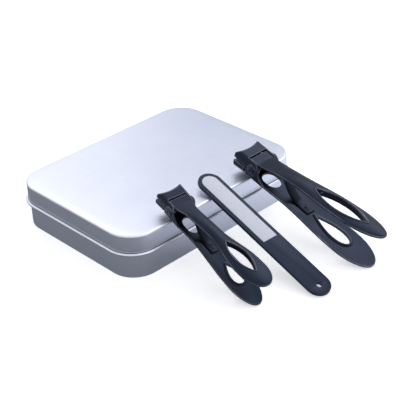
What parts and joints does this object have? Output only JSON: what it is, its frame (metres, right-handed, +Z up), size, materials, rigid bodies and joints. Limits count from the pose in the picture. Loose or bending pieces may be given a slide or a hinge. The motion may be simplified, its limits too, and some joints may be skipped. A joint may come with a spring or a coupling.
{
  "type": "manicure set case",
  "caption": "Hinged metal tin with a fitted foam tray, a large and a small plier nail clipper with sprung levers, and a nail file, leaning on the tin's edge.",
  "frame": {"origin": "centre of the tin's underside, on the surface the set stands on", "axes": "+X along the tin's long side, +Y from the front edge to the hinged rear, +Z up"},
  "size_m": [0.1174, 0.167, 0.0358],
  "materials": {
    "tin_plate": "satin, fine brushed",
    "tray_foam": "matt dense foam",
    "clipper_steel": "black-blue satin plating",
    "rivet_steel": "black-blue plating, brighter on the turned faces",
    "spring_steel": "black satin",
    "file_steel": "black-blue satin plating",
    "abrasive": "fine sparkling grit, matt"
  },
  "bodies": {
    "case": {"tin_base": "tin_plate", "tool_tray": "tray_foam"},
    "lid": {"tin_lid": "tin_plate"},
    "nail_file": {"file_blade": "file_steel", "file_front_strip": "abrasive", "file_back_strip": "abrasive"},
    "large_clipper": {"large_lower_lever": "clipper_steel", "large_pivot_rivet": "rivet_steel", "large_leaf_spring": "spring_steel", "large_spring_rivet": "rivet_steel"},
    "large_press": {"large_upper_lever": "clipper_steel"},
    "small_clipper": {"small_lower_lever": "clipper_steel", "small_pivot_rivet": "rivet_steel", "small_leaf_spring": "spring_steel", "small_spring_rivet": "rivet_steel"},
    "small_press": {"small_upper_lever": "clipper_steel"}
  },
  "joints": [
    {"name": "lid_hinge", "type": "hinge", "parent": "case", "child": "lid", "pos_m": [0, 0.0442, 0.0138], "axis": [-1, 0, 0], "range_deg": [0, 110]},
    {"name": "large_clipper_lift", "type": "slide", "parent": "case", "child": "large_clipper", "axis": [0, 0, 1], "range_m": [0, 0.1804]},
    {"name": "small_clipper_lift", "type": "slide", "parent": "case", "child": "small_clipper", "axis": [0, 0, 1], "range_m": [0, 0.181]},
    {"name": "nail_file_lift", "type": "slide", "parent": "case", "child": "nail_file", "axis": [0, 0, 1], "range_m": [0, 0.181]},
    {"name": "large_squeeze", "type": "hinge", "parent": "large_clipper", "child": "large_press", "pos_m": [0.02892, -0.04535, 0.02914], "axis": [1, -0.0017, 0], "range_deg": [0, 6.5], "stiffness_Nm_per_rad": 2, "springref_deg": -5.73, "deforming": ["large_leaf_spring"]},
    {"name": "small_squeeze", "type": "hinge", "parent": "small_clipper", "child": "small_press", "pos_m": [-0.025, -0.04311, 0.02893], "axis": [0.9976, -0.0698, 0], "range_deg": [0, 6.5], "stiffness_Nm_per_rad": 1.4, "springref_deg": -5.73, "deforming": ["small_leaf_spring"]}
  ],
  "couplings": [
    {"joint": "lid_hinge", "follows": "large_clipper_lift", "rad_per_m": 10.638},
    {"joint": "small_clipper_lift", "follows": "large_clipper_lift", "ratio": 1},
    {"joint": "nail_file_lift", "follows": "large_clipper_lift", "ratio": 1}
  ]
}
